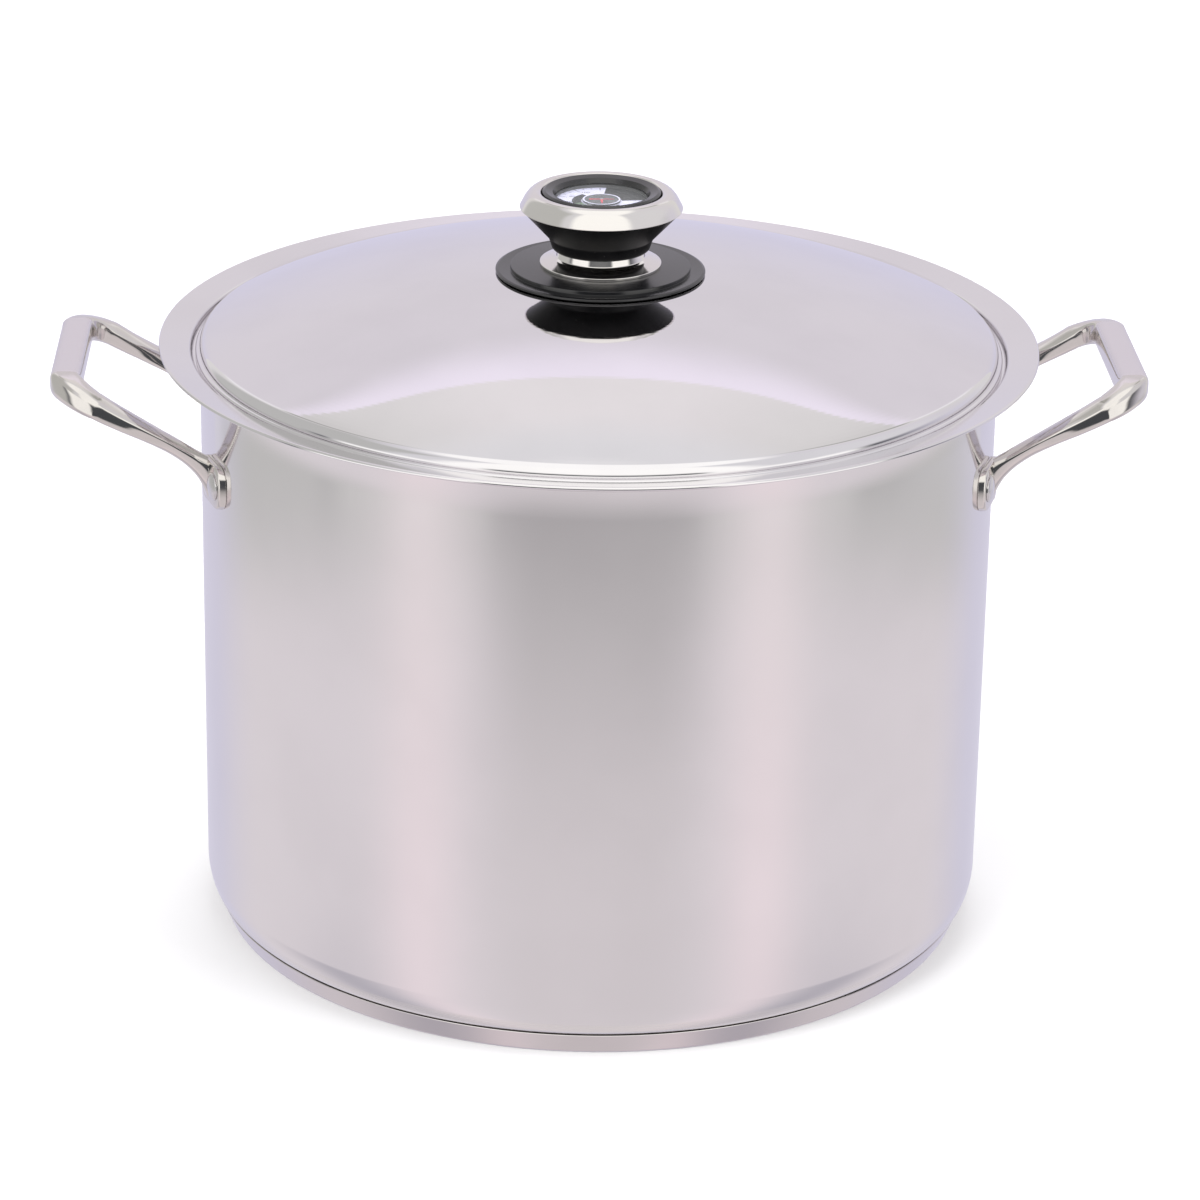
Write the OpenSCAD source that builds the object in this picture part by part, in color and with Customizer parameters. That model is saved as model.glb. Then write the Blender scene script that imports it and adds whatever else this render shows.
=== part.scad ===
// Large stainless steel stockpot with a drop-in domed lid and a thermometer knob.
// Millimetres, +Z up, origin at the centre of the base's underside, handles on +X and -X.

/* [Pot] */
// Outer diameter of the body
body_d = 320; // [300:5:340]
// Height of the rim's outer edge
rim_h = 243.4; // [215:0.2:270]
// Thickness of the wall and the floor
wall_t = 1.2; // [0.9:0.1:1.4]
// Radius of the rounded corner between wall and floor
corner_r = 22; // [18:1:26]
// How far the rim flange reaches out past the body
rim_reach = 16.3; // [13:0.1:18]
// Slope of the rim flange, falling towards the lid
rim_slope = 10.3; // [4:0.1:14]
// Depth of the lid's seat below the rim's inner edge
seat_drop = 3.4; // [3.2:0.1:3.8]

/* [Base] */
// Height of the seam where the base cap ends
seam_h = 9.1; // [7:0.1:9.4]
// Radius of the base cap at the table
cap_foot_r = 153.2; // [151:0.1:154]
// Thickness of the base cap's sheet
cap_t = 0.7; // [0.5:0.1:0.9]

/* [Lid] */
// Rise of the lid's top above the rim's outer edge
lid_rise = 27.1; // [26:0.1:28.5]
// Thickness of the lid's sheet
lid_t = 1.0; // [0.8:0.1:1.2]
// Slope of the dome next to the knob
dome_slope_in = 2.5; // [2:0.1:4]
// Slope of the dome at its shoulder
dome_slope_out = 21.5; // [20:0.1:22]
// Radius of the shoulder that turns the dome down
shoulder_r = 5; // [4:0.1:6]

/* [Handles] */
// Distance from the pot's axis to the middle of the grip bar
grip_x = 211.4; // [206:0.2:220]
// Height of the middle of the grip bar above the rim, negative is below
grip_rise = -9.7; // [-13:0.1:-8]
// Distance from the handle's middle plane to the middle of each arm
arm_y = 45.6; // [41:0.2:47]
// Radius of the bend between arm and grip bar, at the bar's middle
bend_r = 13; // [11:0.5:18]
// Width of the grip bar
bar_w = 12.4; // [11:0.2:16]
// Thickness of the grip bar
bar_h = 11.2; // [8:0.2:12]
// Height of each riveted foot
foot_h = 18; // [16:1:22]
// Thickness of each riveted foot
foot_t = 2.9; // [2:0.1:4]
// Radius of the rivets' outer heads
rivet_head_r = 5.6; // [4.5:0.1:5.8]
// Radius of the rivets' shanks
rivet_r = 2.9; // [2:0.1:3.5]

/* [Knob] */
// Radius of the heat shield
shield_r = 42; // [38:0.5:46]
// Radius of the steel collar
collar_r = 24.3; // [22:0.1:28]
// Radius of the grip at its waist
waist_r = 19.4; // [19:0.1:20]
// Radius of the steel bezel
bezel_r = 32.5; // [31.5:0.1:34]
// Radius of the bolt that holds the knob
bolt_r = 4; // [3:0.5:4]

/* [Thermometer] */
// Radius of the dial that shows through the window
window_r = 18.2; // [17:0.1:18.5]
// Number of turns in the bimetal coil
coil_turns = 3; // [2:1:4]
// Direction of the pointer at rest, anticlockwise from the right
pointer_angle = 235; // [180:5:270]

/* [Hidden] */
$fn = 96;
clear = 0.05;                                   // running clearance on a radius
eps = 0.01;

// Pot body: the corner arc meets a tighter arc that tucks under the base cap.
body_r = body_d / 2;
corner_x = body_r - corner_r;
tuck_z = seam_h + 2.4;
corner_z = 21;
tuck_a = asin((corner_z - tuck_z) / corner_r);
tuck_r = 5;
tuck_x = corner_x + (corner_r - tuck_r) * cos(tuck_a);
tuck_cz = corner_z - (corner_r - tuck_r) * sin(tuck_a);
floor_z = tuck_cz - tuck_r;                     // underside of the pot's floor

// Rim: the wall steps out into a seat, climbs, and turns out into the flange.
rim_r = body_r + rim_reach;
lip_r = 1.4;
step_r = wall_t + 0.5;
nook_r = 1.2;
well_r = body_r + 3.5;                          // inner wall round the lid's edge
lip_x = well_r + lip_r;
lip_z = rim_h - (rim_r - lip_x) * tan(rim_slope) - lip_r;
seat_z = lip_z + lip_r - seat_drop;
edge_r = 0.5;
flare = 0.25;                                   // how far the wall leans out just under the seat
flare_h = 12;

// Lid: its slope grows evenly from the knob's pad to the shoulder.
lid_top = rim_h + lid_rise;
pad_r = 40;
shoulder_x = body_r - 3;
slope_gain = (dome_slope_out - dome_slope_in) / (shoulder_x - pad_r);
bead_r = 1.4;
bead_x = body_r + 0.4;
bead_z = seat_z + bead_r;

// Handles
foot_in = body_r + clear;
foot_out = foot_in + foot_t;
foot_z = rim_h - 44.4;                          // middle of each foot
foot_y0 = arm_y - 7.5;
foot_y1 = arm_y + 16.5;
rivet_y = arm_y + 9.9;
rivet_a = asin(rivet_y / foot_out);
arm_root = 4.4;                                 // half width of an arm at the foot
arm_end = 6.4;                                  // half width of an arm at the bend
arm_rise = 4.8;                                 // how far the bar's middle lies above the arm's end
root_x = sqrt(pow(foot_out, 2) - pow(arm_y, 2));
bar_z = rim_h + grip_rise;
bend_x = grip_x - bend_r;
RING = 16;                                      // points round a handle section
ARM = 9;                                        // sections along an arm
BEND = 6;                                       // sections round a bend

// Knob, stacked up from the lid's top
shield_z = lid_top;
shield_h = 3.2;
step_in_r = shield_r - 6.2;
collar_z = shield_z + shield_h;
collar_h = 6.5;
grip_z = collar_z + collar_h;
knee_z = grip_z + 5;
bezel_z = grip_z + 16.8;
bezel_h = 7.2;
pocket_z = grip_z + 6.4;                        // floor of the thermometer's pocket
ledge_z = grip_z + 18.3;
boss_z = ledge_z + 3.5;
pocket_r = window_r + 0.2;
ledge_r = window_r + 2.6;
ring_top = boss_z + 2.3;
lens_z = boss_z - 1;
cup_t = 0.6;
hex_r = 7.5;

function arc(c, r, a0, a1, n = 6) =
    [for (i = [0:n]) let (a = a0 + (a1 - a0) * i / n) [c[0] + r * cos(a), c[1] + r * sin(a)]];
function reversed(v) = [for (i = [len(v) - 1:-1:0]) v[i]];
function bezier(p, t) =
    pow(1 - t, 3) * p[0] + 3 * pow(1 - t, 2) * t * p[1] + 3 * (1 - t) * t * t * p[2] + t * t * t * p[3];

// One face of the pot's sheet, shifted by s towards the outside
function pot_face(s) = concat(
    [[0, floor_z + wall_t - s]],
    arc([tuck_x, tuck_cz], tuck_r - wall_t + s, -90, -tuck_a, 6),
    arc([corner_x, corner_z], corner_r - wall_t + s, -tuck_a, 0, 8),
    [for (t = [0:0.25:0.75])
        [body_r - wall_t + s + flare * t * t, seat_z - step_r - flare_h * (1 - t)]],
    arc([body_r - wall_t + step_r + flare, seat_z - step_r], step_r - s, 180, 90, 4),
    arc([well_r - nook_r, seat_z + nook_r], nook_r + s, -90, 0, 5),
    arc([lip_x, lip_z], lip_r - s, 180, 90 + rim_slope, 5));

module pot_shell() {
    top = [rim_r - edge_r, rim_h];
    dip = wall_t / cos(rim_slope);
    color("silver")
    difference() {
        rotate_extrude()
            polygon(concat(pot_face(0), [top],
                arc([rim_r - edge_r, rim_h - edge_r], edge_r, 90, 0, 3),
                [[rim_r, rim_h - dip]], reversed(pot_face(wall_t))));
        for (side = [0, 180], a = [-rivet_a, rivet_a]) rivet_hole(side + a);
    }
}

module base_core() {
    color("lightgray")
    translate([0, 0, cap_t])
        cylinder(h = floor_z - cap_t, r = cap_foot_r - 1.6);
}

module base_cap() {
    seam_r = corner_x + corner_r * cos(asin((corner_z - seam_h) / corner_r));
    foot_r = 1.3;
    color("silver")
    rotate_extrude()
        polygon(concat([[0, 0]],
            arc([cap_foot_r - foot_r, foot_r], foot_r, -90, -22, 4),
            [[seam_r, seam_h], [seam_r - cap_t * 0.9, seam_h]],
            [[cap_foot_r - cap_t, cap_t + 0.5], [cap_foot_r - cap_t - 0.5, cap_t], [0, cap_t]]));
}

// Handle section: a superellipse at centre c, half width a along s and half height b along u
function section(c, s, u, a, b, e) = [for (k = [0:RING - 1]) let (q = 360 * (k + 0.5) / RING)
    c + s * a * sign(cos(q)) * pow(abs(cos(q)), 2 / e) + u * b * sign(sin(q)) * pow(abs(sin(q)), 2 / e)];

// Underside and top of an arm, seen from the side
end_z = bar_z - arm_rise;
arm_under = [[root_x - 0.2, foot_z - 8.4], [root_x + 2.6, foot_z + 10], [bend_x - 19, end_z - 15.5],
             [bend_x + 2.3, end_z - 3.8]];
arm_top = [[root_x - 2, foot_z + 8.5], [root_x + 5, foot_z + 12.5], [bend_x - 16, end_z - 5.5],
           [bend_x - 2.4, end_z + 3.9]];

function arm_section(t) = let (lo = bezier(arm_under, t), hi = bezier(arm_top, t), d = hi - lo)
    section([(lo[0] + hi[0]) / 2, -arm_y, (lo[1] + hi[1]) / 2], [0, -1, 0],
        [d[0], 0, d[1]] / norm(d), arm_root + (arm_end - arm_root) * t, norm(d) / 2, 2.6 + 0.6 * t);

// The bend's sections turn from along the arm to along the bar while they rise to the bar's height
function bend_section(g) = let (slope = atan(2 * arm_rise * (1 - g) / (bend_r * PI / 2)), q = 90 * g)
    section([bend_x + bend_r * sin(q), -arm_y + bend_r * (1 - cos(q)), bar_z - arm_rise * (1 - g) * (1 - g)],
        [sin(q), -cos(q), 0], [-sin(slope) * cos(q), -sin(slope) * sin(q), cos(slope)],
        arm_end + (bar_w / 2 - arm_end) * g, 4.5 + (bar_h / 2 - 4.5) * g, 3.2 + 0.4 * g);

module handle_bar() {
    near = concat([for (i = [0:ARM]) arm_section(i / ARM)], [for (i = [1:BEND]) bend_section(i / BEND)]);
    far = [for (ring = reversed(near)) [for (p = ring) [p[0], -p[1], p[2]]]];
    rings = concat(near, far);
    last = len(rings) - 1;
    polyhedron(
        points = [for (ring = rings, p = ring) p],
        faces = concat(
            [[for (k = [RING - 1:-1:0]) k]],
            [[for (k = [0:RING - 1]) last * RING + k]],
            [for (i = [0:last - 1], k = [0:RING - 1])
                [i * RING + k, (i + 1) * RING + (k + 1) % RING, (i + 1) * RING + k]],
            [for (i = [0:last - 1], k = [0:RING - 1])
                [i * RING + k, i * RING + (k + 1) % RING, (i + 1) * RING + (k + 1) % RING]]));
}

module rounded_plate(w, h, r) {
    square([w - 2 * r, h], center = true);
    square([w, h - 2 * r], center = true);
    for (x = [-1, 1], y = [-1, 1])
        translate([x * (w / 2 - r), y * (h / 2 - r)]) circle(r);
}

// A foot follows the pot's wall: a rounded plate cut from a ring
module handle_foot() {
    reach = foot_y1 - foot_y0;
    intersection() {
        translate([0, 0, foot_z - foot_h])
        difference() {
            cylinder(h = 2 * foot_h, r = foot_out);
            translate([0, 0, -1]) cylinder(h = 2 * foot_h + 2, r = foot_in);
        }
        translate([body_r - 20, (foot_y0 + foot_y1) / 2, foot_z])
            rotate([90, 0, 90]) linear_extrude(40) rounded_plate(reach, foot_h, 5);
    }
}

module handle() {
    difference() {
        union() {
            handle_bar();
            handle_foot();
            mirror([0, 1, 0]) handle_foot();
        }
        for (a = [-rivet_a, rivet_a]) rivet_hole(a);
    }
}

module rivet_hole(a) {
    rotate([0, 0, a]) translate([body_r - 5, 0, foot_z]) rotate([0, 90, 0])
        cylinder(h = 12, r = rivet_r + 2 * clear);
}

module rivet(a) {
    head_h = 1.4;
    inner = sqrt(pow(body_r - wall_t, 2) - pow(rivet_head_r, 2)) - clear;
    rotate([0, 0, a]) translate([0, 0, foot_z]) rotate([0, 90, 0])
        rotate_extrude()
            polygon([[0, inner - 1.1], [4, inner - 1.1], [5, inner - 0.7], [5.2, inner], [rivet_r, inner],
                     [rivet_r, foot_out], [rivet_head_r, foot_out], [rivet_head_r - 0.3, foot_out + 0.6],
                     [rivet_head_r - 1.4, foot_out + 1.1], [3, foot_out + head_h], [0, foot_out + head_h]]);
}

module handle_left() { color("gainsboro") mirror([1, 0, 0]) handle(); }
module handle_right() { color("gainsboro") handle(); }
module rivets_left() { color("white") for (a = [-rivet_a, rivet_a]) rivet(180 + a); }
module rivets_right() { color("white") for (a = [-rivet_a, rivet_a]) rivet(a); }

// Height of the lid's outer face at radius r, and its slope there
function dome_slope(r) = dome_slope_in + slope_gain * (r - pad_r);
function dome_z(r) = lid_top + ln(cos(dome_slope(r)) / cos(dome_slope_in)) * 180 / PI / slope_gain;

// One face of the lid's sheet, s inside its outer face
function lid_face(s) = let (a1 = dome_slope_out) concat(
    [[0, lid_top - s], [pad_r - 1.5, lid_top - s], [pad_r + 1.5, dome_z(pad_r + 1.5) - s]],
    [for (i = [1:9]) let (r = pad_r + (shoulder_x - pad_r) * i / 10, a = dome_slope(r))
        [r - s * sin(a), dome_z(r) - s * cos(a)]],
    arc([shoulder_x - shoulder_r * sin(a1), dome_z(shoulder_x) - shoulder_r * cos(a1)],
        shoulder_r - s, 90 - a1, 0, 6));

module lid_shell() {
    color("silver")
    difference() {
        union() {
            rotate_extrude() {
                outer = lid_face(0);
                skirt = outer[len(outer) - 1][0];
                polygon(concat(outer, [[skirt, bead_z], [skirt - lid_t, bead_z]], reversed(lid_face(lid_t))));
            }
            translate([0, 0, bead_z]) rotate_extrude() translate([bead_x, 0]) circle(bead_r);
        }
        translate([0, 0, lid_top - 5]) cylinder(h = 10, r = bolt_r + 0.3);
    }
}

module washer(z, h, r, hole) {
    translate([0, 0, z]) difference() {
        cylinder(h = h, r = r);
        translate([0, 0, -1]) cylinder(h = h + 2, r = hole);
    }
}

washer_h = 1.2;
under_lid = lid_top - lid_t;
module seal_washer() { color("dimgray") washer(under_lid - washer_h, washer_h, 10, bolt_r + 0.1); }
module steel_washer() { color("silver") washer(under_lid - 2 * washer_h, washer_h, 10.5, bolt_r + 0.2); }

module knob_bolt() {
    head_h = 5.2;
    head_z = under_lid - 2 * washer_h - head_h;
    color("silver") {
        translate([0, 0, head_z]) cylinder(h = head_h, r = hex_r, $fn = 6);
        translate([0, 0, head_z + head_h - eps]) cylinder(h = pocket_z - 0.6 - head_z - head_h, r = bolt_r);
        translate([0, 0, pocket_z - 0.6 - eps]) cylinder(h = 0.5, r1 = bolt_r, r2 = bolt_r - 0.5);
    }
}

module heat_shield() {
    land = shield_z + 1.6;
    foot_gap = 0.3;
    color("#26262a")
    rotate_extrude()
        polygon([[bolt_r + 0.3, shield_z], [14, shield_z], [15, shield_z + foot_gap],
                 [shield_r - 0.5, shield_z + foot_gap], [shield_r, shield_z + 0.8],
                 [shield_r - 0.2, land - 0.4], [shield_r - 1.1, land], [step_in_r + 0.5, land - 0.2],
                 [step_in_r, land + 0.6], [step_in_r - 0.5, land + 0.9], [collar_r + 1, collar_z],
                 [bolt_r + 0.3, collar_z]]);
}

module collar() {
    color("silver")
    rotate_extrude()
        polygon([[bolt_r + 0.3, collar_z], [collar_r - 0.3, collar_z], [collar_r, collar_z + 0.3],
                 [collar_r, collar_z + 0.9], [collar_r - 0.3, collar_z + 1.2], [18.7, collar_z + 3.2],
                 [18, collar_z + 3.7], [17.2, grip_z - 0.3], [16.9, grip_z], [bolt_r + 0.3, grip_z]]);
}

module grip() {
    base_r = 1.8;
    color("#202023")
    difference() {
        rotate_extrude()
            polygon(concat([[0, grip_z]],
                arc([waist_r - base_r, grip_z + base_r], base_r, -90, 0, 5),
                [[waist_r + 1.4, knee_z - 0.5], [waist_r + 1.7, knee_z + 0.2], [waist_r + 2.3, knee_z + 0.9],
                 [bezel_r - 0.5, bezel_z], [ledge_r + 2.8, bezel_z], [ledge_r + 2.8, boss_z], [0, boss_z]]));
        translate([0, 0, grip_z - 1]) cylinder(h = pocket_z - grip_z + 2, r = hex_r * cos(30), $fn = 6);
        translate([0, 0, pocket_z]) cylinder(h = 40, r = pocket_r);
        translate([0, 0, ledge_z]) cylinder(h = 40, r = ledge_r);
    }
}

// Brass insert moulded into the grip: hexagonal outside, bored for the bolt
module threaded_insert() {
    color("goldenrod")
    translate([0, 0, grip_z]) difference() {
        cylinder(h = pocket_z - grip_z, r = hex_r * cos(30), $fn = 6);
        translate([0, 0, -1]) cylinder(h = pocket_z - grip_z + 2, r = bolt_r + clear);
    }
}

module bezel() {
    hole = ledge_r + 3.1;
    top = bezel_z + bezel_h;
    outside = [[bezel_r, bezel_z + 0.4], [bezel_r - 1.6, bezel_z + 3.6], [bezel_r - 2.9, top - 0.6],
               [hole + 2.7, top]];
    color("lightgray")
    rotate_extrude()
        polygon(concat([[hole, bezel_z], [bezel_r - 0.3, bezel_z]],
            [for (i = [0:8]) bezier(outside, i / 8)],
            [[hole + 1.3, top - 0.2], [hole + 0.5, top - 0.7], [hole, top - 1.3]]));
}

module lens_ring() {
    outer = ledge_r + 2.8;
    color("#1c1c1f")
    rotate_extrude()
        polygon([[window_r, boss_z - 0.4], [ledge_r - 0.2, boss_z - 0.4], [ledge_r - 0.2, boss_z],
                 [outer, boss_z], [outer, ring_top - 0.7], [outer - 0.9, ring_top - 0.1],
                 [outer - 1.3, ring_top], [window_r + 1.7, ring_top], [window_r + 1.2, ring_top - 0.3],
                 [window_r + 0.1, boss_z]]);
}

module lens() {
    color("lightcyan", 0.4)
    translate([0, 0, lens_z])
        cylinder(h = boss_z - 0.4 - lens_z, r = ledge_r - 0.3);
}

module lens_gasket() {
    low = ledge_z + 2 * cup_t;
    color("black") washer(low, lens_z - low, ledge_r - 0.4, window_r + 0.3);
}

module dial_plate() {
    color("white") washer(ledge_z + cup_t, cup_t, window_r + 1.2, 1.2);
}

// Sheet steel cup that holds the thermometer's works and sits on the insert
module gauge_cup() {
    wall = pocket_r - 0.4;
    color("silver")
    rotate_extrude()
        polygon([[0, pocket_z], [wall, pocket_z], [wall, ledge_z], [ledge_r - 0.4, ledge_z],
                 [ledge_r - 0.4, ledge_z + cup_t], [wall - cup_t, ledge_z + cup_t],
                 [wall - cup_t, pocket_z + cup_t], [0, pocket_z + cup_t]]);
}

arbor_r = 0.7;
cup_floor = pocket_z + cup_t;
coil_z = cup_floor + 3.2;
coil_h = 2.4;
coil_r0 = 2.1;
coil_pitch = 3.2;
coil_t = 0.7;
post_r = 1.1;
post_x = coil_r0 + coil_pitch * coil_turns + post_r + coil_t / 2 - 0.25;
pointer_z = ledge_z + 2 * cup_t + 0.4;

module arbor_bush() {
    color("goldenrod") washer(cup_floor, 2.2, 2.6, arbor_r + clear);
}

// Flat strip wound outwards from the arbor
module coil_strip() {
    steps = 20 * coil_turns;
    function spiral(d) = [for (i = [0:steps]) let (turn = coil_turns * i / steps)
        (coil_r0 + coil_pitch * turn + d) * [cos(360 * turn), sin(360 * turn)]];
    linear_extrude(coil_h) polygon(concat(spiral(-coil_t / 2), reversed(spiral(coil_t / 2))));
}

module bimetal_coil() {
    color("peru")
    translate([0, 0, coil_z]) {
        difference() {
            cylinder(h = coil_h, r = coil_r0);
            translate([0, 0, -1]) cylinder(h = coil_h + 2, r = arbor_r + clear);
        }
        coil_strip();
    }
}

// Post at the strip's outer end, cut out round the strip
module coil_post() {
    color("goldenrod")
    difference() {
        translate([post_x, 0, cup_floor]) cylinder(h = coil_z + coil_h - cup_floor, r = post_r);
        translate([0, 0, coil_z]) coil_strip();
    }
}

module pointer() {
    hub_r = 7.6;
    tip = 11.5;
    color("#33343a")
    translate([0, 0, pointer_z]) difference() {
        linear_extrude(0.4) {
            circle(hub_r);
            rotate([0, 0, pointer_angle]) polygon([[hub_r - 1, -1.6], [tip, 0], [hub_r - 1, 1.6]]);
        }
        translate([0, 0, -1]) cylinder(h = 3, r = arbor_r);
    }
}

module arbor() {
    color("silver") translate([0, 0, cup_floor + 0.1])
        cylinder(h = pointer_z + 0.4 - cup_floor, r = arbor_r);
}

pot_shell();
base_core();
base_cap();
handle_left();
handle_right();
rivets_left();
rivets_right();
lid_shell();
seal_washer();
steel_washer();
knob_bolt();
heat_shield();
collar();
grip();
threaded_insert();
bezel();
lens_ring();
lens();
lens_gasket();
dial_plate();
gauge_cup();
arbor_bush();
bimetal_coil();
coil_post();
pointer();
arbor();
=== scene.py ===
# Looks for the stockpot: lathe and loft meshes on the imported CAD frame, their materials and a plain studio.
import math

import bmesh
import bpy
from mathutils import Matrix, Vector


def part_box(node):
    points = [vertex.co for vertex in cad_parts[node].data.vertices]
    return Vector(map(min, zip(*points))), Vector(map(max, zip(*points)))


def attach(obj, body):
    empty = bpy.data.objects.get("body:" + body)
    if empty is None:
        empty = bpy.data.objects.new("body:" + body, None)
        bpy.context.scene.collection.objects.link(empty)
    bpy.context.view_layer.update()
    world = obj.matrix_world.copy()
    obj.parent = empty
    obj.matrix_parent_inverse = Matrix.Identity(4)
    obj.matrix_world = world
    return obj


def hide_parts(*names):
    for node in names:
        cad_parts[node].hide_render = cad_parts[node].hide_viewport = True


MM = 0.001
MICRON = 1e-6
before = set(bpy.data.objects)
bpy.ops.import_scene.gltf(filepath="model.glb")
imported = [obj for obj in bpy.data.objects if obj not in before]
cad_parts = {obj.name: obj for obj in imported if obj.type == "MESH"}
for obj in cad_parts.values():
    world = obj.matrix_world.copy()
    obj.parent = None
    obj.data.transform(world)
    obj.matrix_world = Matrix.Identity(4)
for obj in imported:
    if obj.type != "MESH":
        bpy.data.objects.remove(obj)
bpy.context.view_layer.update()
UP = Vector((0, 0, 1))


def span(node):
    """Radius, lowest and highest z of a round CAD node, in millimetres."""
    lo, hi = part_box(node)
    return hi[0] / MM, lo[2] / MM, hi[2] / MM


# ---------------------------------------------------------------- node arithmetic


class Num:
    """A number in a node tree, with ordinary arithmetic."""

    def __init__(self, tree, value):
        self.tree, self.value = tree, value

    def math(self, op, *others):
        node = self.tree.nodes.new("ShaderNodeMath")
        node.operation = op
        for socket, v in zip(node.inputs, (self, *others)):
            feed(self.tree, socket, v)
        return Num(self.tree, node.outputs[0])

    def __add__(self, o):
        return self.math("ADD", o)

    def __sub__(self, o):
        return self.math("SUBTRACT", o)

    def __mul__(self, o):
        return self.math("MULTIPLY", o)

    def __truediv__(self, o):
        return self.math("DIVIDE", o)

    def abs(self):
        return self.math("ABSOLUTE")

    def step(self, lo, hi):
        """0 below lo, 1 above hi, smooth between; lo may be the higher one."""
        node = self.tree.nodes.new("ShaderNodeMapRange")
        node.interpolation_type = "SMOOTHSTEP"
        feed(self.tree, node.inputs["Value"], self)
        if lo > hi:
            lo, hi = hi, lo
            node.inputs["To Min"].default_value, node.inputs["To Max"].default_value = 1, 0
        node.inputs["From Min"].default_value, node.inputs["From Max"].default_value = lo, hi
        return Num(self.tree, node.outputs["Result"])

    def bump(self, centre, width):
        """A smooth hump of height 1 round a centre."""
        d = (self - centre) / width
        return (d * d * -1.0).math("EXPONENT")


def feed(tree, socket, v):
    """Links or sets a socket, whichever the value calls for."""
    if isinstance(v, Num):
        v = v.value
    if isinstance(v, bpy.types.NodeSocket):
        tree.links.new(v, socket)
    elif isinstance(v, (tuple, list)) and len(v) == 3 and socket.type == "RGBA":
        socket.default_value = (*v, 1)
    else:
        socket.default_value = v


def blend(tree, factor, a, b):
    """Colour a where factor is 0 and b where it is 1."""
    node = tree.nodes.new("ShaderNodeMix")
    node.data_type = "RGBA"
    for socket, v in ((node.inputs["Factor"], factor), (node.inputs[6], a), (node.inputs[7], b)):
        feed(tree, socket, v)
    return node.outputs[2]


def split(tree, vector):
    node = tree.nodes.new("ShaderNodeSeparateXYZ")
    tree.links.new(vector, node.inputs[0])
    return node.outputs


def combine(tree, x, y, z):
    node = tree.nodes.new("ShaderNodeCombineXYZ")
    for socket, v in zip(node.inputs, (x, y, z)):
        feed(tree, socket, v)
    return node.outputs[0]


def noise(tree, vector, detail, scale=1.0, rough=0.5):
    node = tree.nodes.new("ShaderNodeTexNoise")
    tree.links.new(vector, node.inputs["Vector"])
    node.inputs["Scale"].default_value = scale
    node.inputs["Detail"].default_value = detail
    node.inputs["Roughness"].default_value = rough
    return Num(tree, node.outputs["Fac"])


def bumped(tree, height, distance, below=None):
    """The normal over a relief of so many metres, laid on another normal if there is one below."""
    node = tree.nodes.new("ShaderNodeBump")
    node.inputs["Distance"].default_value = distance
    feed(tree, node.inputs["Height"], height)
    if below is not None:
        tree.links.new(below, node.inputs["Normal"])
    return node.outputs[0]


class Place:
    """Where a point of the surface is, with its distance from the axis and its angle round it in radians."""

    def __init__(self, tree):
        self.co = tree.nodes.new("ShaderNodeTexCoord").outputs["Object"]
        self.x, self.y, self.z = (Num(tree, s) for s in split(tree, self.co))
        self.radius = (self.x * self.x + self.y * self.y).math("SQRT")
        self.angle = self.y.math("ARCTAN2", self.x)


def srgb(r, g, b, gain=1.0):
    """A linear colour from 0-255 display values."""
    lin = [(c / 255 / 12.92) if c <= 10 else ((c / 255 + 0.055) / 1.055) ** 2.4 for c in (r, g, b)]
    return tuple(c * gain for c in lin)


# ---------------------------------------------------------------- materials


def new_material(name, colour, metallic, roughness):
    mat = bpy.data.materials.new(name)
    mat.use_nodes = True
    shader = mat.node_tree.nodes["Principled BSDF"]
    shader.inputs["Base Color"].default_value = (*colour, 1)
    shader.inputs["Metallic"].default_value = metallic
    shader.inputs["Roughness"].default_value = roughness
    mat.diffuse_color = (*colour, 1)
    return mat, mat.node_tree, shader


def mottled(tree, cloud, colour, spread):
    """The colour, darker by a small share where the clouds are thick."""
    return blend(tree, cloud.step(0.35, 0.7), colour, tuple(c * (1 - spread) for c in colour))


def wiped(tree, at, round_scale, height_scale):
    """Short marks round the axis, as a cloth leaves them, 0 to 1."""
    stretched = combine(tree, at.angle * round_scale, at.z * height_scale, at.radius * 300.0)
    return noise(tree, stretched, detail=5, rough=0.7).step(0.56, 0.75)


def steel(name, colour, roughness, turned, waves, blotch):
    """Polished stainless steel. turned is the depth of the fine lines round the axis and waves that of the
    sheet's unevenness, both in micrometres; blotch is how far the roughness wanders."""
    mat, tree, shader = new_material(name, colour, 1.0, roughness)
    at = Place(tree)
    cloud = noise(tree, at.co, detail=4, scale=22)
    lines = noise(tree, combine(tree, at.radius * 2600.0, at.z * 2600.0, at.angle * 1.5), detail=2)
    tree.links.new(mottled(tree, cloud, colour, 0.035), shader.inputs["Base Color"])
    wander = (cloud - 0.5) * blotch + (lines - 0.5) * (blotch * 1.2)
    wander = wander + wiped(tree, at, 60.0, 40.0) * (blotch * 0.8)
    feed(tree, shader.inputs["Roughness"], wander + roughness)
    uneven = bumped(tree, noise(tree, at.co, detail=1, scale=9), waves * MICRON)
    tree.links.new(bumped(tree, lines, turned * MICRON, uneven), shader.inputs["Normal"])
    return mat


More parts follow.
